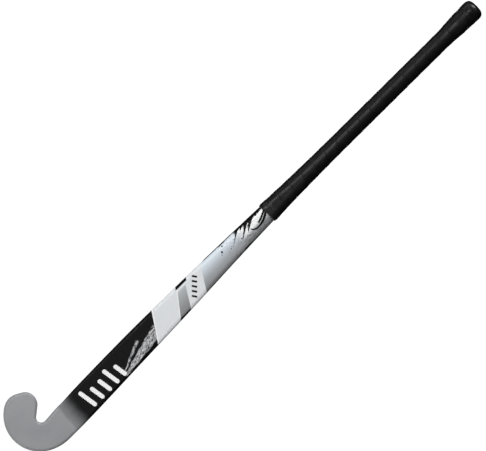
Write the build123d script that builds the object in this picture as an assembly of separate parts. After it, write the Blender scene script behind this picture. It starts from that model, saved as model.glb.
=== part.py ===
from build123d import *
from math import cos, radians, sin
import os

# Field hockey stick in millimetres. Lengths along the stick, called s, run from the lowest point of the
# hook to the butt. +Z follows the straight handle towards the butt, the flat playing face looks to -Y
# and the toe of the hook points to -X. The origin is on the handle's axis, at the middle of the grip.

STICK_LENGTH = 927.0
GRIP_MIDDLE = 713.0
BLOCK_TOP = 90.0          # the hook's flat block ends here and the shaft begins
BEND_TOP = 450.0          # below this the shaft bows forward, above it the handle is straight
HOOK_LEAN = 6.5           # angle in degrees between the playing face of the hook and the handle
CORE_END = 922.0
SKIN = 1.0                # glass-fibre sleeve, with its paint

# The shaft: s, toe-side edge, heel-side edge, depth from face to back, and how far its section has
# gone from the flat-faced one (0) to the oval handle (1)
SHAFT = [
    (BLOCK_TOP, -14.5, 30.9, 22.0, 0.0),
    (130, -16.5, 29.8, 22.2, 0.0),
    (180, -17.7, 27.8, 22.8, 0.05),
    (240, -18.4, 25.5, 23.6, 0.12),
    (300, -18.1, 23.2, 24.6, 0.22),
    (360, -17.4, 20.4, 25.6, 0.36),
    (420, -16.4, 17.4, 26.6, 0.55),
    (490, -14.6, 14.6, 27.4, 0.8),
    (540, -12.9, 12.9, 26.8, 0.95),
    (600, -11.8, 11.8, 25.8, 1.0),
    (640, -11.5, 11.5, 25.4, 1.0),
    (680, -11.5, 11.5, 25.4, 1.0),
    (740, -11.5, 11.5, 25.4, 1.0),
    (800, -11.5, 11.5, 25.4, 1.0),
    (860, -11.5, 11.5, 25.4, 1.0),
    (CORE_END, -11.5, 11.5, 25.4, 1.0),
]

# Radii of the section's face corners and back corners, on the flat-faced shaft and on the oval handle
FACE_SECTION = (4.0, 10.0)
OVAL_SECTION = (9.0, 11.0)

# Hook outline: radii and turns in degrees, from the heel round the bottom to the tip of the toe
HEEL_ARC_START = 59.2
HOOK_ARCS = [(65.6, 29.4), (53.0, 56.8), (53.5, 61.7), (24.4, 61.3)]
TOE_FLAT = 8.4
TOE_RADIUS = 18.0
TOE_TURN = 112.0
NOTCH_RADIUS = 7.5
THROAT_TOP = 82.0
THROAT_SLOPE = 4.5
THROAT_RADIUS = 150.0

# Laminae and splice
BEND_CENTRE = (-20.5, 54.0)
LAMINA_RADII = [17.4, 25.7, 33.9, 42.2]
HEEL_LAMINA_TOP = 290.0   # the outermost lamina stops here, where the shaft has grown too narrow for it
SPLICE_TIP = (0.8, 250.0)
SPLICE_TOP = 400.0
SPLICE_HALF_WIDTH = 15.0
RUBBER_INNER = 3.0
RUBBER_OUTER = 4.5

# Handle coverings: heights above the bare handle of their outside and inside, as rows of (s, height)
FIT_GAP = 0.05            # room between one covering and the next
UNDERLAY = [(512, 0.4), (560, 0.4), (640, 0.4), (860, 0.4)]
COLLAR = [(860, 0.4), (870, 0.7), (880, 1.45), (890, 2.1), (900, 2.45), (910, 2.8), (CORE_END, 2.8)]
GRIP = [
    (504, 1.8), (512, 1.8), (560, 1.75), (640, 1.75), (750, 1.7), (860, 1.75),
    (870, 2.4), (880, 3.15), (888, 3.8), (893, 3.8), (900, 3.95), (907, 4.3),
]
HANDLE = [(505, 0.0), (560, 0.0), (640, 0.0), (865, 0.0), (STICK_LENGTH, 0.0)]
TAPE_RING = [(495, 0.9), (497, 2.0), (501, 2.4), (506, 2.3), (510, 2.0)]
TAPE_BORE = [(491, 0.0), (503, 0.0), (504, 1.8), (514, 1.8)]
CAP = [(907, 4.5), (912, 4.8), (917, 4.7), (922, 4.3), (STICK_LENGTH, 3.6)]
CAP_BORE = [(900, 2.8), (CORE_END, 2.8)]
CAP_EDGE = 4.0

REACH = 90.0              # how far the cutting blocks go beyond the stick, across it


def bow_plane(s):
    """Cross-section plane of the stick at s: local x is toe to heel, local y is face to back."""
    bend_radius = (BEND_TOP - BLOCK_TOP) / radians(HOOK_LEAN)
    turn = (BEND_TOP - min(max(s, BLOCK_TOP), BEND_TOP)) / bend_radius
    above = max(s - BEND_TOP, 0)
    below = min(s - BLOCK_TOP, 0)
    y = below * sin(turn) - bend_radius * (1 - cos(turn))
    z = BEND_TOP - GRIP_MIDDLE - bend_radius * sin(turn) + above + below * cos(turn)
    return Plane(origin=(0, y, z), x_dir=(1, 0, 0), z_dir=(0, sin(turn), cos(turn)))


def blend(low, high, share):
    """Values part of the way from one row of numbers to another."""
    return [a + (b - a) * share for a, b in zip(low, high)]


def shaft_at(s):
    """Toe-side edge, heel-side edge, depth and roundness of the shaft at s."""
    s = min(max(s, BLOCK_TOP), CORE_END)
    for low, high in zip(SHAFT, SHAFT[1:]):
        if s <= high[0]:
            return blend(low, high, (s - low[0]) / (high[0] - low[0]))[1:]


def section(s, growth=0.0):
    """Cross-section of the stick at s, grown outward by growth."""
    toe_x, heel_x, depth, roundness = shaft_at(s)
    face_radius, back_radius = blend(FACE_SECTION, OVAL_SECTION, roundness)
    left = toe_x - growth
    right = heel_x + growth
    back = depth / 2 + growth
    corners = [(left, -back), (right, -back), (right, back), (left, back)]
    radii = [face_radius + growth, face_radius + growth, back_radius + growth, back_radius + growth]
    return bow_plane(s) * make_face(FilletPolyline(*corners, radius=radii, close=True))


def hook_outline(above):
    """Hook seen square on, in x and height over the block's top, carried on straight by above."""
    toe_x, heel_x = SHAFT[0][1:3]
    with BuildLine() as outline:
        arc = Line((heel_x, above), (heel_x, HEEL_ARC_START - BLOCK_TOP))
        for radius, turn in HOOK_ARCS:
            arc = JernArc(arc @ 1, arc % 1, radius, -turn)
        arc = Line(arc @ 1, arc @ 1 + (arc % 1) * TOE_FLAT)
        arc = JernArc(arc @ 1, arc % 1, TOE_RADIUS, -TOE_TURN)
        straight = Line((toe_x, above), (toe_x, THROAT_TOP - BLOCK_TOP))
        throat = JernArc(straight @ 1, straight % 1, THROAT_RADIUS, THROAT_SLOPE)
        throat_line = Line(throat @ 1, throat @ 1 + (throat % 1) * BLOCK_TOP, mode=Mode.PRIVATE)
        toe_line = IntersectingLine(arc @ 1, arc % 1, throat_line)
        Line(toe_line @ 1, throat @ 1)
        Line((toe_x, above), (heel_x, above))
    face = make_face(outline.line)
    return fillet(face.vertices().sort_by_distance(toe_line @ 1)[0], NOTCH_RADIUS)


def through_face(outline):
    """A flat outline in the hook's plane, as a block that runs right through the stick."""
    front = Plane(origin=(0, -REACH, 0), x_dir=(1, 0, 0), z_dir=(0, -1, 0))
    return bow_plane(BLOCK_TOP).location * extrude(front * outline, -2 * REACH)


def hook_block(growth=0.0):
    """Hook up to the block's top: flat in front, with rounded edges behind."""
    depth = SHAFT[0][3] + 2 * growth
    face_radius, back_radius = FACE_SECTION
    outline = hook_outline(above=12.0)
    if growth:
        outline = offset(outline, growth)
    front = Plane(origin=(0, -depth / 2, 0), x_dir=(1, 0, 0), z_dir=(0, -1, 0))
    block = extrude(front * outline, -depth)
    for y, radius in [(-depth / 2, face_radius + growth), (depth / 2, back_radius + growth)]:
        rim = block.edges().filter_by_position(Axis.Y, y, y)
        top_edge = rim.sort_by(Axis.Z)[-1]
        block = fillet([edge for edge in rim if edge != top_edge], radius)
    block = split(block, bisect_by=Plane.XY, keep=Keep.BOTTOM)
    return bow_plane(BLOCK_TOP).location * block


def stick_body(growth=0.0):
    """Hook, shaft and handle as one solid, grown outward by growth."""
    shaft = loft([section(station[0], growth) for station in SHAFT])
    return hook_block(growth) + shaft


def envelope(profile, growth=0.0, ruled=False):
    """Solid round the handle that stands out by the profile's heights at its values of s."""
    return loft([section(s, height + growth) for s, height in profile], ruled=ruled)


def bend_region(radius, all_above=None):
    """Everything inside a hairpin of this radius, whose legs run straight up from the bend's centre."""
    centre_x, centre_s = BEND_CENTRE
    centre = centre_s - BLOCK_TOP
    disc = Pos(centre_x, centre) * Circle(radius)
    legs = Pos(centre_x, centre + STICK_LENGTH / 2) * Rectangle(2 * radius, STICK_LENGTH)
    outline = disc + legs
    if all_above is not None:
        outline += Pos(0, all_above - BLOCK_TOP + STICK_LENGTH / 2) * Rectangle(2 * REACH, STICK_LENGTH)
    return through_face(outline)


def splice_wedge():
    """The V in which the handle strips sit between the laminae, and all of the handle above it."""
    tip_x, tip_s = SPLICE_TIP
    left = tip_x - SPLICE_HALF_WIDTH
    right = tip_x + SPLICE_HALF_WIDTH
    shoulder = SPLICE_TOP - BLOCK_TOP
    top = STICK_LENGTH
    vee = [(left, shoulder), (tip_x, tip_s - BLOCK_TOP), (right, shoulder)]
    handle = [(REACH, shoulder), (REACH, top), (-REACH, top), (-REACH, shoulder)]
    return through_face(make_face(Polyline(*vee, *handle, close=True)))


def upright_slab(low_x, high_x):
    """Slab between two values of x that runs along the whole stick."""
    return Pos((low_x + high_x) / 2, 0, 0) * Box(high_x - low_x, 4 * REACH, 3 * STICK_LENGTH)


def make_laminae(hook):
    """Bent laminae of the hook, from the innermost, round the notch, to the heel."""
    regions = [bend_region(radius) for radius in LAMINA_RADII[:-1]]
    regions.append(bend_region(LAMINA_RADII[-1], all_above=HEEL_LAMINA_TOP))
    laminae = {"hook_lamina_1": hook & regions[0]}
    for number, (inner, outer) in enumerate(zip(regions, regions[1:]), start=2):
        laminae[f"hook_lamina_{number}"] = (hook & outer) - inner
    laminae[f"hook_lamina_{len(regions) + 1}"] = hook - regions[-1]
    return laminae


def make_handle_strips(handle):
    """Three cane strips, with a rubber strip on each side of the middle one."""
    return {
        "handle_cane_toe": handle & upright_slab(-REACH, -RUBBER_OUTER),
        "handle_rubber_toe": handle & upright_slab(-RUBBER_OUTER, -RUBBER_INNER),
        "handle_cane_middle": handle & upright_slab(-RUBBER_INNER, RUBBER_INNER),
        "handle_rubber_heel": handle & upright_slab(RUBBER_INNER, RUBBER_OUTER),
        "handle_cane_heel": handle & upright_slab(RUBBER_OUTER, REACH),
    }


def make_core():
    """Everything inside the sleeve: the laminae of the hook and the strips of the handle."""
    core = stick_body(-SKIN)
    wedge = splice_wedge()
    pieces = make_laminae(core - wedge)
    pieces.update(make_handle_strips(core & wedge))
    return pieces


def make_grip():
    """Sleeve of the wound grip strip, over the underlay and the collar."""
    bore = [(500, UNDERLAY[0][1])] + UNDERLAY + COLLAR[1:-1]
    return envelope(GRIP) - envelope(bore, FIT_GAP)


def make_butt_cap():
    """Rubber cap with a rounded rim, pushed over the end of the handle."""
    cap = envelope(CAP)
    rim = cap.faces().sort_by(Axis.Z)[-1].edges()
    return fillet(rim, CAP_EDGE) - envelope(CAP_BORE, FIT_GAP)


def make_coverings():
    """What is wound on or pushed over the finished stick, from the inside out."""
    handle = envelope(HANDLE, FIT_GAP)
    return {
        "grip_underlay": envelope(UNDERLAY) - handle,
        "butt_collar": envelope(COLLAR) - handle,
        "grip_wrap": make_grip(),
        "finishing_tape": envelope(TAPE_RING) - envelope(TAPE_BORE, FIT_GAP, ruled=True),
        "butt_cap": make_butt_cap(),
    }


def main():
    body = stick_body()
    pieces = {"painted_sleeve": body - stick_body(-SKIN)}
    pieces.update(make_core())
    pieces.update(make_coverings())
    os.makedirs("parts", exist_ok=True)
    for name, piece in pieces.items():
        export_step(piece, f"parts/{name}.step")


main()
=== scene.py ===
"""Looks of the field hockey stick: painted glass-fibre skin, wound grip, tape ring and rubber butt cap."""
from math import ceil, cos, pi, radians, sin, sqrt, tau

import bpy
from mathutils import Matrix, Vector


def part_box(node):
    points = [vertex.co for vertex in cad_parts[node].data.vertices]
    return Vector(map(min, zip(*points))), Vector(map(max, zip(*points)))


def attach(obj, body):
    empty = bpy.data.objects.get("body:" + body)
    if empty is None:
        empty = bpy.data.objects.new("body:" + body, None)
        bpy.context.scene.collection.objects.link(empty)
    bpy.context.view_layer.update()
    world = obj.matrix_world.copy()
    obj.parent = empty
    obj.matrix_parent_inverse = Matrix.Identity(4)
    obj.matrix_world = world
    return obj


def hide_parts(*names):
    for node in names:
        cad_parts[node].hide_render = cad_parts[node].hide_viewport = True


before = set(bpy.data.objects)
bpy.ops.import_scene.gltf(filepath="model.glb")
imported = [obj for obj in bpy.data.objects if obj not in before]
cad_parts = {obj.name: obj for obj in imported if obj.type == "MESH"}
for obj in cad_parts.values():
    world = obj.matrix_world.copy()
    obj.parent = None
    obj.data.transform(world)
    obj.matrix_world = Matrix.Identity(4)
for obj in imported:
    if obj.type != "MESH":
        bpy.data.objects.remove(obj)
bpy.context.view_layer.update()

MM = 0.001
BUTT_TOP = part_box("butt_cap")[1].z
STICK_LENGTH = 0.927
HOOK_BOTTOM = BUTT_TOP - STICK_LENGTH       # where s, the length along the stick, is 0


# ---------------------------------------------------------------- shapes worked out from the frame

SPREAD = [                                  # s, width, depth, corner radii of the bare handle, in mm
    (495, 28.9, 27.4, 8.1, 10.8),
    (540, 25.8, 26.8, 8.75, 10.95),
    (600, 23.6, 25.8, 9.0, 11.0),
    (640, 23.0, 25.4, 9.0, 11.0),
    (930, 23.0, 25.4, 9.0, 11.0),
]
GRIP_HEIGHTS = [                            # s and height of the grip's outside over the bare handle, mm
    (500, 1.75), (520, 1.8), (560, 1.75), (640, 1.75), (750, 1.7), (855, 1.75), (863, 1.95), (870, 2.4),
    (880, 3.15), (887, 3.7), (893, 3.85), (900, 4.0), (907, 4.3), (930, 4.3),
]


CORNER_STEPS = 8                            # straight pieces in a corner of the handle's section
REACH = 5.0                                 # height in mm of the ring that heights are measured towards


def between(rows, s):
    """Values at s from rows of (s, value, ...), on straight lines from row to row."""
    if s <= rows[0][0]:
        return rows[0][1:]
    for low, high in zip(rows, rows[1:]):
        if s <= high[0]:
            share = (s - low[0]) / (high[0] - low[0])
            return tuple(a + (b - a) * share for a, b in zip(low[1:], high[1:]))
    return rows[-1][1:]


def ring_points(s, height, count, rounding=0.0):
    """Evenly spaced points round the handle at s, height above it, in mm; rounding 1 is a full oval."""
    width, depth, face_radius, back_radius = between(SPREAD, s)
    half_x = width / 2 + height
    half_y = depth / 2 + height
    widest = min(half_x, half_y)
    face_corner = face_radius + height + (widest - face_radius - height) * rounding
    back_corner = back_radius + height + (widest - back_radius - height) * rounding
    corners = [
        (1, -1, face_corner, -pi / 2),
        (1, 1, back_corner, 0.0),
        (-1, 1, back_corner, pi / 2),
        (-1, -1, face_corner, pi),
    ]
    outline = [(0.0, -half_y)]
    for side_x, side_y, radius, start in corners:
        centre_x = side_x * (half_x - radius)
        centre_y = side_y * (half_y - radius)
        for step in range(CORNER_STEPS + 1):
            angle = start + step / CORNER_STEPS * pi / 2
            outline.append((centre_x + radius * cos(angle), centre_y + radius * sin(angle)))
    outline.append(outline[0])
    lengths = [0.0]
    for (x0, y0), (x1, y1) in zip(outline, outline[1:]):
        lengths.append(lengths[-1] + sqrt((x1 - x0) ** 2 + (y1 - y0) ** 2))
    points = []
    index = 0
    for number in range(count):
        target = lengths[-1] * number / count
        while lengths[index + 1] < target:
            index += 1
        share = (target - lengths[index]) / (lengths[index + 1] - lengths[index])
        (x0, y0), (x1, y1) = outline[index], outline[index + 1]
        points.append((x0 + (x1 - x0) * share, y0 + (y1 - y0) * share))
    return points


def tube_mesh(name, rings, closed_ends=False):
    """Mesh through rings of points (x, y, s) in mm; the last joins the first, or both ends are closed."""
    count = len(rings[0])
    vertices = [(x * MM, y * MM, HOOK_BOTTOM + s * MM) for ring in rings for x, y, s in ring]
    faces = []
    for row in range(len(rings)):
        following = (row + 1) % len(rings)
        if closed_ends and following == 0:
            continue
        for column in range(count):
            after = (column + 1) % count
            faces.append((row * count + column, row * count + after,
                          following * count + after, following * count + column))
    if closed_ends:
        faces.append(tuple(range(count - 1, -1, -1)))
        faces.append(tuple((len(rings) - 1) * count + column for column in range(count)))
    mesh = bpy.data.meshes.new(name)
    mesh.from_pydata(vertices, [], faces)
    mesh.update()
    for polygon in mesh.polygons:
        polygon.use_smooth = True
    piece = bpy.data.objects.new(name, mesh)
    bpy.context.scene.collection.objects.link(piece)
    return piece


# ---------------------------------------------------------------- procedural materials

class Shader:
    """A material being built: short calls that add nodes and hand back their output sockets."""

    def __init__(self, name, **settings):
        self.material = bpy.data.materials.new(name)
        self.material.use_nodes = True
        self.tree = self.material.node_tree
        self.surface = self.tree.nodes["Principled BSDF"]
        for socket, value in settings.items():
            self.surface.inputs[socket.replace("_", " ")].default_value = value
        self.place = self.tree.nodes.new("ShaderNodeTexCoord").outputs
        metres = self.tree.nodes.new("ShaderNodeSeparateXYZ")
        self.tree.links.new(self.place["Object"], metres.inputs[0])
        self.x = self.times(metres.outputs[0], 1 / MM)
        self.y = self.times(metres.outputs[1], 1 / MM)
        self.s = self.scaled(metres.outputs[2], 1 / MM, -HOOK_BOTTOM / MM)

    def feed(self, socket, value):
        if isinstance(value, bpy.types.NodeSocket):
            self.tree.links.new(value, socket)
        else:
            socket.default_value = value

    def math(self, operation, *values, clamp=False):
        node = self.tree.nodes.new("ShaderNodeMath")
        node.operation = operation
        node.use_clamp = clamp
        for socket, value in zip(node.inputs, values):
            self.feed(socket, value)
        return node.outputs[0]

    def times(self, a, b):
        return self.math("MULTIPLY", a, b)

    def plus(self, a, b):
        return self.math("ADD", a, b)

    def minus(self, a, b):
        return self.math("SUBTRACT", a, b)

    def scaled(self, value, factor, offset):
        """value x factor + offset"""
        return self.math("MULTIPLY_ADD", value, factor, offset)

    def share(self, value, whole):
        """value / whole, kept from 0 to 1"""
        return self.math("DIVIDE", value, whole, clamp=True)

    def size(self, value):
        return self.math("ABSOLUTE", value)

    def distance(self, a, b):
        return self.math("SQRT", self.plus(self.times(a, a), self.times(b, b)))

    def streaky(self, x, y, seed, **settings):
        """Noise read at a point of its own (x, y, seed), so it can be stretched either way."""
        return self.noise(1.0, at=self.vector(x, y, seed), **settings)

    def line(self, a, x, b, s, c):
        """a x + b s + c"""
        return self.plus(self.times(x, a), self.scaled(s, b, c))

    def over(self, value, edge, softness):
        """0 below the edge, 1 above it, eased over softness."""
        node = self.tree.nodes.new("ShaderNodeMapRange")
        node.interpolation_type = "SMOOTHSTEP"
        self.feed(node.inputs["Value"], value)
        node.inputs["From Min"].default_value = edge - softness / 2
        node.inputs["From Max"].default_value = edge + softness / 2
        return node.outputs[0]

    def under(self, value, edge, softness):
        return self.minus(1.0, self.over(value, edge, softness))

    def band(self, value, low, high, softness):
        return self.times(self.over(value, low, softness), self.under(value, high, softness))

    def all_of(self, *masks):
        result = masks[0]
        for mask in masks[1:]:
            result = self.times(result, mask)
        return result

    def either(self, *masks):
        result = masks[0]
        for mask in masks[1:]:
            result = self.math("MAXIMUM", result, mask)
        return result

    def vector(self, x, y, z):
        node = self.tree.nodes.new("ShaderNodeCombineXYZ")
        for socket, value in zip(node.inputs, (x, y, z)):
            self.feed(socket, value)
        return node.outputs[0]

    def noise(self, scale, detail=3.0, roughness=0.55, at=None, distortion=0.0):
        """Noise from about 0 to 1; scale is per metre, or per unit of the vector it is read at."""
        node = self.tree.nodes.new("ShaderNodeTexNoise")
        node.inputs["Scale"].default_value = scale
        node.inputs["Detail"].default_value = detail
        node.inputs["Roughness"].default_value = roughness
        node.inputs["Distortion"].default_value = distortion
        self.feed(node.inputs["Vector"], self.place["Object"] if at is None else at)
        return node.outputs[0]

    def ramp(self, value, stops):
        """Colour from a list of (position, (r, g, b))."""
        node = self.tree.nodes.new("ShaderNodeValToRGB")
        elements = node.color_ramp.elements
        while len(elements) < len(stops):
            elements.new(0.5)
        for element, (position, colour) in zip(elements, stops):
            element.position = position
            element.color = (*colour, 1.0)
        self.feed(node.inputs[0], value)
        return node.outputs[0]

    def mix(self, mask, below, above):
        """Colour above laid over colour below where the mask is 1."""
        node = self.tree.nodes.new("ShaderNodeMix")
        node.data_type = "RGBA"
        self.feed(node.inputs[0], mask)
        for socket, value in ((node.inputs[6], below), (node.inputs[7], above)):
            self.feed(socket, value if isinstance(value, bpy.types.NodeSocket) else (*value, 1.0))
        return node.outputs[2]

    def bump(self, height, distance, strength=1.0):
        node = self.tree.nodes.new("ShaderNodeBump")
        node.inputs["Strength"].default_value = strength
        node.inputs["Distance"].default_value = distance
        self.feed(node.inputs["Height"], height)
        self.tree.links.new(node.outputs[0], self.surface.inputs["Normal"])

    def set(self, **sockets):
        for name, value in sockets.items():
            self.feed(self.surface.inputs[name.replace("_", " ")], value)


# Paint colours and marks. x is across the shaft from its axis, s is along it, both in mm.

BLACK = (0.0035, 0.0035, 0.004)
BLACK_WORN = (0.006, 0.006, 0.0065)
WHITE = (0.765, 0.785, 0.805)
BRIGHT = (0.96, 0.96, 0.97)
SCUFF = (0.10, 0.10, 0.105)
HOOK_GREY = [(0.3, (0.300, 0.305, 0.319)), (0.7, (0.355, 0.360, 0.374))]
# Partly the paint's own fade and partly painted light: the pale toe-side colours hold a painted highlight,
# the darker heel-side colours painted shade.
SILVER_FADE_AND_PAINTED_LIGHT = [                                  # share of the way from the toe edge to the heel edge, colour
    (0.0, (0.73, 0.80, 0.86)), (0.22, (0.73, 0.80, 0.86)), (0.42, (0.53, 0.575, 0.62)),
    (0.62, (0.385, 0.405, 0.425)), (0.85, (0.275, 0.28, 0.29)), (1.0, (0.21, 0.215, 0.22)),
]
WINDOW_GREY = [
    (0.1, (0.64, 0.68, 0.70)), (0.3, (0.45, 0.475, 0.49)), (0.65, (0.32, 0.33, 0.34)),
    (1.0, (0.22, 0.225, 0.23)),
]
STREAK_GREY = [(0.38, (0.02, 0.02, 0.021)), (0.44, (0.30, 0.30, 0.31)), (0.60, (0.66, 0.66, 0.67))]

FADE_SHORT = (80.5, 5.0, 0.3)               # where this share of the hook's grey ends, and over what length
FADE_LONG = (94.0, 27.0, 0.7)
WIDE_BAND = ((0.661, -264.4), (0.7625, -314.1))         # its two edges, where slope x + s + offset = 0
NARROW_BAND = ((0.6056, -331.7), (0.6096, -364.4))
TOE_EDGE = (0.021, -25.1)                   # x of the silver part's edges is slope s + offset
HEEL_EDGE = (-0.0415, 35.0)
STREAKS = [                                 # start x, start s, lean, length, first and last half-width
    (23.2, 184.0, -0.195, 76.0, 1.8, 9.0),
    (18.0, 187.0, -0.44, 41.0, 0.9, 2.3),
]
MOTIF_BARS = [(-4.5, 21.0), (2.5, 21.0), (2.5, 20.5), (-3.0, 20.5), (3.5, 20.0)]        # x from, x to
MOTIF_START = 119.0
MOTIF_PITCH = 15.5
SLASH_COUNT = 5
SLASH_FIRST = (-9.2, 355.6)                 # x, s
SLASH_PITCH = (5.2, -5.1)
SLASH_LEAN = 0.75
TORN_STROKES = [                            # place along the tear, reach from the toe edge, thickness
    (256.6, 13.5, 2.0), (262.6, 7.0, 2.2), (268.3, 19.5, 3.2), (274.4, 17.5, 3.6), (284.0, 6.0, 3.6),
]
SWEEP_LOWEST = (5.3, 472.0)                 # x, s where the curved sweep comes nearest to the heel edge
SPECKS = [                                  # x, s, radius
    (-6.0, 409.0, 1.6), (-12.2, 415.0, 1.3), (-3.0, 406.0, 0.7), (1.8, 417.5, 0.6), (0.0, 422.0, 0.75),
    (-1.6, 425.0, 0.6), (-3.4, 431.5, 0.8), (0.2, 443.5, 0.9), (4.0, 447.0, 0.6), (5.4, 456.0, 0.8),
]


def facing_front(p):
    """1 on the playing face and 0 on the back, by the surface's own normal."""
    normal = p.tree.nodes.new("ShaderNodeSeparateXYZ")
    p.tree.links.new(p.place["Normal"], normal.inputs[0])
    return p.under(normal.outputs[1], 0.0, 0.2)


def black_base(p):
    return p.mix(p.noise(1500.0, detail=1.0), BLACK, BLACK_WORN)


def hook_fade(p):
    """1 on the hook, fading out up the shaft in a short step and a long one."""
    drift = p.plus(p.line(0.05, p.x, 1.0, p.s, 0.0), p.scaled(p.noise(60.0), 6.0, -3.0))
    steps = [p.times(p.under(drift, end, length), part) for end, length, part in (FADE_SHORT, FADE_LONG)]
    return p.plus(*steps)


def hook_paint(p):
    """Grey of the hook, with a faint cloudiness and fine flake."""
    cloud = p.noise(28.0, detail=2.0)
    flake = p.noise(2600.0, detail=0.0)
    return p.ramp(p.plus(p.times(cloud, 0.7), p.times(flake, 0.3)), HOOK_GREY)


def silver_with_painted_light(p, across):
    """Silver from a pale, bluish toe side to mid grey at the heel side, greyer under the grip; partly the
    paint's fade, partly painted highlight and painted shade.
    """
    flake = p.noise(2200.0, detail=0.0)
    darker_end = p.times(p.over(p.s, 450.0, 34.0), 0.10)
    return p.ramp(p.plus(p.plus(across, darker_end), p.scaled(flake, 0.06, -0.03)), SILVER_FADE_AND_PAINTED_LIGHT)


def brush_streaks(p):
    """Two feathered dry-brush strokes that leave the heel edge and cross towards the toe side."""
    masks = []
    for start_x, start_s, lean, reach, narrow, wide in STREAKS:
        along = p.minus(p.s, start_s)
        middle = p.line(1.0, p.x, -lean, p.s, lean * start_s - start_x)
        opening = p.scaled(p.share(along, reach), wide - narrow, narrow)
        bristle = p.streaky(p.times(middle, 0.42), p.times(along, 0.085), start_x,
                            detail=6.0, roughness=0.72)
        ragged = p.scaled(bristle, 13.0, -6.5)
        edge = p.minus(p.scaled(ragged, 0.5, opening), p.size(middle))
        end = p.plus(p.minus(start_s + reach, p.s), p.times(ragged, 3.0))
        cracks = p.streaky(p.times(middle, 0.75), p.times(along, 0.11), 4.0, detail=5.0, roughness=0.7)
        masks.append(p.all_of(p.over(edge, 0.0, 0.8), p.over(end, 0.0, 1.5), p.over(along, 0.0, 3.0),
                              p.over(cracks, 0.43, 0.06)))
    return p.either(*masks)


def streak_grey(p):
    """Worn grey of the strokes: fibres along the stroke from nearly black to light."""
    run = p.line(-0.2, p.x, 1.0, p.s, 0.0)
    off = p.line(1.0, p.x, 0.2, p.s, 0.0)
    fibres = p.streaky(p.times(run, 0.11), p.times(off, 0.36), 21.0,
                       detail=5.0, roughness=0.68, distortion=0.5)
    grit = p.noise(520.0, detail=3.0, roughness=0.6)
    return p.ramp(p.scaled(grit, 0.3, p.scaled(fibres, 1.1, -0.2)), STREAK_GREY)


def slanted_bar(p, x_low, x_high, s_middle, half_width, lean):
    """Bar across the shaft with round ends, leaning by lean."""
    run = p.math("MINIMUM", p.math("MAXIMUM", p.x, x_low), x_high)
    off_s = p.line(-lean, run, 1.0, p.s, -s_middle)
    return p.under(p.distance(p.minus(p.x, run), off_s), half_width, 0.7)


def motif(p):
    """Plain mark of five slanted bars, in place of any lettering."""
    return p.either(*[slanted_bar(p, x_low, x_high, MOTIF_START + MOTIF_PITCH * number, 3.1, 0.16)
                      for number, (x_low, x_high) in enumerate(MOTIF_BARS)])


def small_slashes(p):
    """Five short black slashes that follow the narrow white band."""
    slashes = []
    for number in range(SLASH_COUNT):
        middle_x = SLASH_FIRST[0] + SLASH_PITCH[0] * number
        middle_s = SLASH_FIRST[1] + SLASH_PITCH[1] * number
        slashes.append(slanted_bar(p, middle_x - 1.9, middle_x + 1.9, middle_s - SLASH_LEAN * middle_x,
                                   1.75, SLASH_LEAN))
    return p.either(*slashes)


def white_bands(p, colour, across):
    """Wide and narrow slanted bands, with the grey window, black patch and black corner between them."""
    wide_low, wide_high, narrow_low = [p.line(slope, p.x, 1.0, p.s, offset)
                                       for slope, offset in (*WIDE_BAND, NARROW_BAND[0])]
    colour = p.mix(p.over(wide_low, 0.0, 0.7), colour, WHITE)
    rims = p.either(p.band(wide_low, 0.0, 1.8, 0.7), p.band(wide_high, -1.6, 0.2, 0.7))
    colour = p.mix(rims, colour, BRIGHT)
    window = p.all_of(p.over(wide_high, 0.0, 0.7), p.under(narrow_low, 0.0, 0.7), p.over(p.x, -10.0, 1.4))
    colour = p.mix(window, colour, p.ramp(across, WINDOW_GREY))
    patch = p.all_of(p.over(wide_high, -3.0, 1.0), p.under(narrow_low, 3.5, 1.0), p.under(p.x, -13.4, 1.0))
    corner = p.all_of(p.over(wide_high, -1.0, 1.0), p.under(narrow_low, -1.5, 1.5), p.over(p.x, 20.2, 1.4))
    return p.mix(p.either(patch, corner), colour, BLACK)


def torn_splash(p, toe_gap):
    """Torn black strokes that start at the toe edge under the grip and run down towards the heel side."""
    off = p.line(0.8, p.x, 0.6, p.s, 0.0)
    run = p.line(0.6, p.x, -0.8, p.s, 0.0)
    torn = p.streaky(p.times(off, 0.27), p.times(run, 0.085), 8.3,
                     detail=6.0, roughness=0.72, distortion=0.8)
    wobble = p.scaled(torn, 9.0, -4.5)
    shapes = []
    for middle, reach, thick in TORN_STROKES:
        away = p.size(p.scaled(wobble, 0.45, p.minus(off, middle)))
        taper = p.scaled(p.share(toe_gap, reach), -thick - 0.6, thick + 0.5)
        shapes.append(p.over(p.plus(p.minus(taper, away), p.times(wobble, 0.35)), 0.0, 0.7))
    ragged_gap = p.scaled(p.band(p.s, 462.0, 484.0, 8.0), -2.2, p.plus(toe_gap, wobble))
    border = p.all_of(p.under(ragged_gap, 3.2, 0.8), p.over(p.s, 440.0, 6.0))
    return p.either(border, *shapes)


def curved_sweep(p):
    """Two black brush marks that curl round the white patch and end at the tape."""
    rough = p.streaky(p.times(p.x, 0.55), p.times(p.s, 0.16), 2.6, detail=4.0, roughness=0.65)
    wobble = p.scaled(rough, 4.0, -2.0)
    bend = p.minus(p.s, SWEEP_LOWEST[1])
    tight_bend = p.plus(p.math("MINIMUM", bend, 0.0), bend)
    off = p.minus(p.x, p.scaled(p.times(tight_bend, tight_bend), -0.015, SWEEP_LOWEST[0]))
    thick = p.scaled(p.over(p.s, 482.0, 16.0), 0.8, 1.35)
    lower = p.over(p.minus(thick, p.size(p.scaled(wobble, 0.3, off))), 0.0, 0.6)
    away = p.size(p.plus(p.plus(off, 4.3), wobble))
    upper = p.all_of(p.under(away, 1.7, 0.7), p.over(p.s, 477.0, 3.0))
    return p.all_of(p.either(lower, upper), p.band(p.s, 462.5, 497.0, 2.0))


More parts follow.
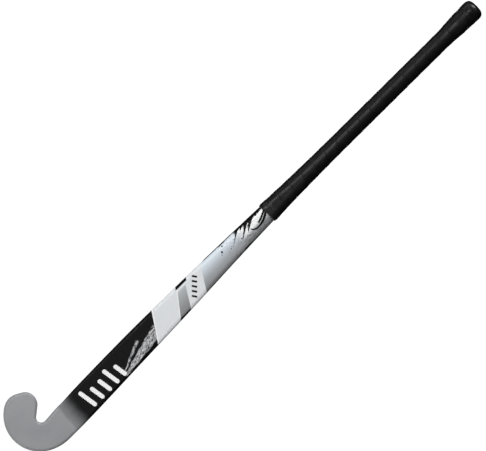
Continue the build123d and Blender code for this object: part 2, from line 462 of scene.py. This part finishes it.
def edge_lines(p, toe_gap, heel_gap):
    """Black that comes round from the sides of the silver part and shows as thin lines at its edges."""
    toe = p.all_of(p.under(toe_gap, 1.2, 0.6), p.over(p.s, 380.0, 6.0))
    toe_blot = p.all_of(p.under(toe_gap, 2.0, 0.7), p.band(p.s, 410.0, 422.0, 5.0))
    thin = p.all_of(p.under(heel_gap, 0.7, 0.5), p.over(p.s, 366.0, 5.0))
    broad = p.all_of(p.under(heel_gap, 1.3, 0.6), p.band(p.s, 418.0, 466.0, 10.0))
    heel_blot = p.all_of(p.under(heel_gap, 2.9, 0.8), p.band(p.s, 436.0, 451.0, 7.0))
    return p.either(toe, toe_blot, thin, broad, heel_blot)


def smudges(p, across):
    """Faint grey scuffs on the heel side of the splash."""
    scuffs = p.streaky(p.times(p.x, 0.30), p.times(p.s, 0.13), 5.2,
                       detail=5.0, roughness=0.65, distortion=0.6)
    return p.all_of(p.over(scuffs, 0.54, 0.10), p.band(across, 0.52, 0.86, 0.16), p.over(p.s, 438.0, 14.0))


def specks(p):
    """A few stray drops of black on the silver."""
    return p.either(*[p.under(p.distance(p.minus(p.x, x), p.minus(p.s, s)), radius, 0.6)
                      for x, s, radius in SPECKS])


def silver_field(p, colour, silver, across, toe_gap, heel_gap):
    """Silver part under the grip, with its white field, scuffs and torn black marks."""
    # Silver with a painted highlight on the toe side and painted shade towards the heel side.
    colour = p.mix(silver, colour, silver_with_painted_light(p, across))
    white_field = p.all_of(p.over(p.s, 446.0, 26.0), p.under(across, 0.56, 0.22))
    colour = p.mix(white_field, colour, BRIGHT)
    colour = p.mix(p.times(p.all_of(silver, smudges(p, across)), 0.55), colour, SCUFF)
    dark = p.either(torn_splash(p, toe_gap), curved_sweep(p), specks(p), edge_lines(p, toe_gap, heel_gap))
    return p.mix(p.all_of(silver, dark), colour, BLACK)


def painted_skin():
    """Satin lacquer over the whole paint scheme, with a little metal in the hook's grey and the silver."""
    p = Shader("painted_skin", Roughness=0.45, IOR=1.45, Specular_IOR_Level=0.13, Coat_Weight=0.05,
               Coat_Roughness=0.3)
    front = facing_front(p)
    toe_edge = p.scaled(p.s, *TOE_EDGE)
    heel_edge = p.scaled(p.s, *HEEL_EDGE)
    toe_gap = p.minus(p.x, toe_edge)
    heel_gap = p.minus(heel_edge, p.x)
    across = p.share(toe_gap, p.minus(heel_edge, toe_edge))
    silver = p.over(p.line(NARROW_BAND[1][0], p.x, 1.0, p.s, NARROW_BAND[1][1]), 0.0, 0.9)

    colour = p.mix(hook_fade(p), black_base(p), hook_paint(p))
    colour = p.mix(p.all_of(brush_streaks(p), front), colour, streak_grey(p))
    colour = p.mix(p.all_of(motif(p), front), colour, BRIGHT)
    colour = white_bands(p, colour, across)
    colour = p.mix(p.all_of(small_slashes(p), front), colour, BLACK)
    colour = silver_field(p, colour, silver, across, toe_gap, heel_gap)

    metal = p.times(p.scaled(silver, 0.35, p.under(p.s, 80.0, 20.0)), 0.2)
    p.set(Base_Color=colour, Metallic=metal)
    ripple = p.plus(p.noise(260.0, detail=2.0), p.times(p.noise(1400.0, detail=1.0), 0.25))
    p.bump(ripple, 0.00003, 0.08)
    return p.material


def grip_leather():
    """Soft black strip: fine pebbling, and soft patches of slightly different tone and roughness."""
    p = Shader("grip_polyurethane", IOR=1.45, Specular_IOR_Level=0.36)
    pores = p.noise(1500.0, detail=2.0, roughness=0.5)
    patches = p.noise(70.0, detail=3.0)
    colour = p.ramp(patches, [(0.3, (0.0030, 0.0030, 0.0031)), (0.7, (0.0055, 0.0055, 0.0057))])
    roughness = p.scaled(patches, 0.20, 0.31)
    p.set(Base_Color=colour, Roughness=roughness)
    p.bump(p.plus(p.times(pores, 0.35), p.times(patches, 0.65)), 0.00008, 0.35)
    return p.material


def vinyl_tape():
    """Thin black tape with faint stretch lines along its run."""
    p = Shader("vinyl_tape", Roughness=0.38, IOR=1.5, Specular_IOR_Level=0.4)
    stretch = p.streaky(p.times(p.s, 2.2), p.times(p.x, 0.05), p.times(p.y, 0.05), detail=3.0)
    p.set(Base_Color=p.ramp(stretch, [(0.3, (0.0045, 0.0045, 0.005)), (0.7, (0.009, 0.009, 0.0095))]))
    p.bump(stretch, 0.00012, 0.6)
    return p.material


def moulded_rubber():
    """Satin black rubber with a light bloom and moulding texture."""
    p = Shader("moulded_rubber", IOR=1.5, Specular_IOR_Level=0.3)
    texture = p.noise(620.0, detail=4.0, roughness=0.7)
    bloom = p.noise(120.0, detail=4.0, roughness=0.6)
    p.set(Base_Color=p.ramp(bloom, [(0.35, (0.003, 0.003, 0.0033)), (0.75, (0.009, 0.009, 0.0094))]),
          Roughness=p.scaled(bloom, 0.3, 0.16))
    p.bump(texture, 0.00035, 0.7)
    return p.material


def wood(name, dark, light):
    """Long-grained wood for the core, which shows only if the skin is taken off."""
    p = Shader(name, Roughness=0.55)
    rings = p.streaky(p.times(p.x, 0.9), p.times(p.y, 0.25), p.times(p.s, 0.012), detail=5.0, roughness=0.6)
    p.set(Base_Color=p.ramp(rings, [(0.3, dark), (0.7, light)]))
    p.bump(rings, 0.0002, 0.4)
    return p.material


def plain_grain(name, low, high, scale, roughness):
    """Matt material with a fine grain, for the hidden rubber and foam."""
    p = Shader(name, Roughness=roughness)
    grain = p.noise(scale, detail=3.0)
    p.set(Base_Color=p.ramp(grain, [(0.3, low), (0.7, high)]))
    p.bump(grain, 0.0002, 0.4)
    return p.material


def dress(node, material):
    """Put a material on a CAD node."""
    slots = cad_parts[node].data.materials
    slots.clear()
    slots.append(material)


# ---------------------------------------------------------------- pieces made here

RING_COUNT = 120
GRIP_START = 503.5
GRIP_END = 907.0
WRAP_PITCH = 23.0
WRAP_STEP = 0.26                            # how far a turn's upper edge stands over the next turn
WRAP_EDGE = 3.2                             # width of the rounded drop at that edge
GRIP_ROW = 0.8                              # greatest distance between the grip's rings of points
GRIP_THICKNESS = 1.3


def spokes(s, rounding):
    """For each point round the handle at s: its angle, and a function giving its (x, y) at a height."""
    lows = ring_points(s, 0.0, RING_COUNT, rounding)
    highs = ring_points(s, REACH, RING_COUNT, rounding)
    for column, ((x0, y0), (x1, y1)) in enumerate(zip(lows, highs)):
        def reach(height, x0=x0, y0=y0, x1=x1, y1=y1):
            return x0 + (x1 - x0) * height / REACH, y0 + (y1 - y0) * height / REACH
        yield tau * column / RING_COUNT, reach


def wrap_height(turn):
    """Height of the wound strip at a fraction of a turn: a slow rise, then a rounded drop at the overlap."""
    drop = 1 - WRAP_EDGE / WRAP_PITCH
    if turn < drop:
        return WRAP_STEP * (turn / drop) ** 2
    fall = (turn - drop) / (1 - drop)
    return WRAP_STEP * (0.5 + 0.5 * cos(pi * fall))


def oval_share(s):
    """0 where the grip still follows the flat-faced shaft, rising to nearly a full oval up the handle."""
    share = min(1.0, max(0.0, (s - 506.0) / 110.0))
    return 0.75 * share * share * (3 - 2 * share)


def make_grip():
    """Polyurethane strip wound up the handle as one continuous helix of overlapping turns."""
    rows = ceil((GRIP_END - GRIP_START) / GRIP_ROW)
    outside = []
    inside = []
    for row in range(rows + 1):
        s = GRIP_START + (GRIP_END - GRIP_START) * row / rows
        base, = between(GRIP_HEIGHTS, s)
        rounding = oval_share(s)
        ring = []
        for angle, reach in spokes(s, rounding):
            turn = ((s - GRIP_START) / WRAP_PITCH + angle / tau) % 1.0
            give = 0.05 * sin(3 * angle + s / 9.0) * sin(s / 31.0)
            ring.append((*reach(base - 0.05 + wrap_height(turn) + give), s))
        outside.append(ring)
        bore = max(0.5, base - GRIP_THICKNESS)
        inside.append([(x, y, s) for x, y in ring_points(s, bore, RING_COUNT, rounding)])
    return tube_mesh("grip_strip", outside + inside[::-1])


TAPE_START = 495.0
TAPE_WIDTH = 15.0
TAPE_OUTSIDE = [                            # rise over the start, height over the bare handle
    (0.0, 0.25), (0.15, 0.85), (0.6, 1.35), (1.4, 1.75), (2.6, 2.0), (4.2, 2.2), (6.0, 2.32),
    (8.0, 2.34), (8.5, 2.22), (10.4, 2.26), (12.0, 2.22), (13.6, 2.12), (14.6, 2.02), (15.0, 1.85),
]
TAPE_INSIDE = [(14.4, 1.2), (0.8, 0.05)]


def make_tape_ring():
    """Few turns of tape over the lower end of the grip, each turn a little off the one below it."""
    rings = []
    for rise, height in TAPE_OUTSIDE:
        s = TAPE_START + rise
        rounding = 0.25 * rise / TAPE_WIDTH
        ring = []
        for angle, reach in spokes(s, rounding):
            swell = 1 + 0.03 * sin(2 * angle + rise) + 0.02 * sin(5 * angle - 1.7 * rise)
            lift = 0.7 * sin(angle) + 0.2 * sin(3 * angle + 1.0)
            ring.append((*reach(height * swell), s + lift))
        rings.append(ring)
    for rise, height in TAPE_INSIDE:
        s = TAPE_START + rise
        rings.append([(x, y, s) for x, y in ring_points(s, height, RING_COUNT)])
    return tube_mesh("tape_turns", rings)


CAP_OUTSIDE = [                             # s, height over the bare handle, below 0 inside its outline
    (907.0, 4.1), (907.3, 4.45), (908.0, 4.68), (909.2, 4.74), (909.8, 4.55), (910.4, 4.62), (913.0, 4.78),
    (916.0, 4.79), (918.5, 4.68), (920.6, 4.35), (922.4, 3.7), (923.9, 2.75), (925.1, 1.5), (925.9, -0.1),
    (926.4, -1.6), (926.7, -3.2), (926.9, -5.0), (926.75, -5.6), (926.75, -6.2), (926.95, -6.8),
    (927.0, -8.2),
]
HANDLE_HALF = 12.0


def make_butt_cap():
    """Moulded cap: rolled lip, slightly barrelled side, rounded rim and a shallow dished top."""
    rings = [[(x, y, 907.6) for x, y in ring_points(907.0, 2.9, RING_COUNT, 1.0)]]
    for s, height in CAP_OUTSIDE:
        shrink = 1.0 if height >= 0 else 1 + height / HANDLE_HALF
        outline = ring_points(s, max(height, 0.0), RING_COUNT, 1.0)
        rings.append([(x * shrink, y * shrink, s) for x, y in outline])
    return tube_mesh("cap_moulding", rings, closed_ends=True)


def finish_piece(piece, material, node):
    """Give the piece its material, let it ride on the stick and stand for a CAD node."""
    piece.data.materials.append(material)
    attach(piece, "root")
    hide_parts(node)


# ---------------------------------------------------------------- camera, light and floor

def aim(item, position, target, up=(0, 0, 1)):
    """Place a camera or light at a position, looking at a target with the given upward direction."""
    backward = (Vector(position) - Vector(target)).normalized()
    right = Vector(up).cross(backward).normalized()
    upward = backward.cross(right)
    turn = Matrix((right, upward, backward)).transposed().to_4x4()
    item.matrix_world = Matrix.Translation(position) @ turn


LENS = 200.0
SENSOR_WIDTH = 36.0
FRAME_WIDTH = 0.7118                        # metres that the picture spans at the stick
CAMERA_TARGET = Vector((-0.0121, 0.0, HOOK_BOTTOM + 0.4582))
CAMERA_UP = Vector((-0.71077, 0.0, 0.70343))


def make_camera():
    """Long lens, square on to the playing face, rolled so that the stick lies along the diagonal."""
    data = bpy.data.cameras.new("camera")
    data.lens = LENS
    data.sensor_width = SENSOR_WIDTH
    data.clip_end = 100.0
    camera = bpy.data.objects.new("camera", data)
    bpy.context.scene.collection.objects.link(camera)
    distance = FRAME_WIDTH * LENS / SENSOR_WIDTH
    aim(camera, CAMERA_TARGET + Vector((0, -distance, 0)), CAMERA_TARGET, CAMERA_UP)
    bpy.context.scene.camera = camera


def make_light(name, position, target, size, power, up=(0, 0, 1)):
    data = bpy.data.lights.new(name, "AREA")
    data.shape = "RECTANGLE"
    data.size, data.size_y = size
    data.energy = power
    lamp = bpy.data.objects.new(name, data)
    bpy.context.scene.collection.objects.link(lamp)
    aim(lamp, position, target, up)


MIDDLE = Vector((0, 0, HOOK_BOTTOM + 0.55))
KEY_TARGET = Vector((0, 0, HOOK_BOTTOM + 0.44))
KEY_DISTANCE = 2.2
KEY_BEARING = radians(21.5)                 # how far the key stands round towards the toe side
FLOOR_DROP = 0.9                            # the floor lies this far below the hook, out of the main view
WASH_DROP = 0.25


def make_lights():
    """Soft key from the front on the toe side, softer lights all round, and one for the floor."""
    key_side = Vector((-sin(KEY_BEARING), -cos(KEY_BEARING), 0.0))
    wash = Vector((0, 0, HOOK_BOTTOM - WASH_DROP))
    make_light("key", KEY_TARGET + KEY_DISTANCE * key_side, KEY_TARGET, (0.32, 0.38), 15.0)
    make_light("above", MIDDLE + Vector((-0.9, -1.7, 2.6)), MIDDLE, (1.5, 1.1), 86.0)
    make_light("toe_side", MIDDLE + Vector((-2.4, -0.6, 0.9)), MIDDLE, (1.6, 1.6), 8.0)
    make_light("behind", MIDDLE + Vector((0.0, 2.8, 0.6)), MIDDLE, (1.4, 1.4), 45.0)
    make_light("floor_wash", wash, wash + Vector((0, 0, -0.5)), (4.4, 4.4), 18.0, up=(0, 1, 0))


def background(tree, strength):
    """Even white background of a given strength."""
    node = tree.nodes.new("ShaderNodeBackground")
    node.inputs["Color"].default_value = (1, 1, 1, 1)
    node.inputs["Strength"].default_value = strength
    return node.outputs[0]


def make_world():
    """White backdrop that adds hardly any light of its own."""
    world = bpy.data.worlds.new("studio")
    world.use_nodes = True
    tree = world.node_tree
    tree.nodes.clear()
    chosen = tree.nodes.new("ShaderNodeMixShader")
    path = tree.nodes.new("ShaderNodeLightPath")
    output = tree.nodes.new("ShaderNodeOutputWorld")
    tree.links.new(path.outputs["Is Camera Ray"], chosen.inputs[0])
    tree.links.new(background(tree, 0.012), chosen.inputs[1])
    tree.links.new(background(tree, 1.05), chosen.inputs[2])
    tree.links.new(chosen.outputs[0], output.inputs[0])
    bpy.context.scene.world = world


FLOOR_HALF = 2.4
FLOOR_WHITE = [(0.3, (0.90, 0.90, 0.90)), (0.7, (0.93, 0.93, 0.93))]


def make_floor():
    p = Shader("floor_white", Roughness=0.9, Specular_IOR_Level=0.1)
    p.set(Base_Color=p.ramp(p.noise(3.0), FLOOR_WHITE))
    corners = [(-FLOOR_HALF, -FLOOR_HALF), (FLOOR_HALF, -FLOOR_HALF), (FLOOR_HALF, FLOOR_HALF),
               (-FLOOR_HALF, FLOOR_HALF)]
    mesh = bpy.data.meshes.new("floor")
    mesh.from_pydata([(x, y, HOOK_BOTTOM - FLOOR_DROP) for x, y in corners], [], [(0, 1, 2, 3)])
    mesh.materials.append(p.material)
    floor = bpy.data.objects.new("floor", mesh)
    bpy.context.scene.collection.objects.link(floor)


def dress_cad_pieces():
    """Materials of the skin and of the core, which shows only if the skin is taken off."""
    foam = plain_grain("underlay_foam", (0.02, 0.02, 0.021), (0.05, 0.05, 0.052), 900.0, 0.85)
    finishes = {
        "painted_sleeve": painted_skin(),
        "hook_lamina": wood("mulberry_wood", (0.36, 0.20, 0.09), (0.62, 0.40, 0.20)),
        "handle_cane": wood("split_cane", (0.50, 0.34, 0.16), (0.74, 0.58, 0.34)),
        "handle_rubber": plain_grain("shock_rubber", (0.02, 0.018, 0.016), (0.05, 0.045, 0.04), 500.0, 0.7),
        "grip_underlay": foam,
        "butt_collar": foam,
    }
    for node in sorted(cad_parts):
        for start, material in finishes.items():
            if node.startswith(start):
                dress(node, material)


def main():
    bpy.context.scene.view_settings.view_transform = "Standard"
    make_camera()
    make_lights()
    make_world()
    make_floor()
    dress_cad_pieces()
    finish_piece(make_grip(), grip_leather(), "grip_wrap")
    finish_piece(make_tape_ring(), vinyl_tape(), "finishing_tape")
    finish_piece(make_butt_cap(), moulded_rubber(), "butt_cap")


main()
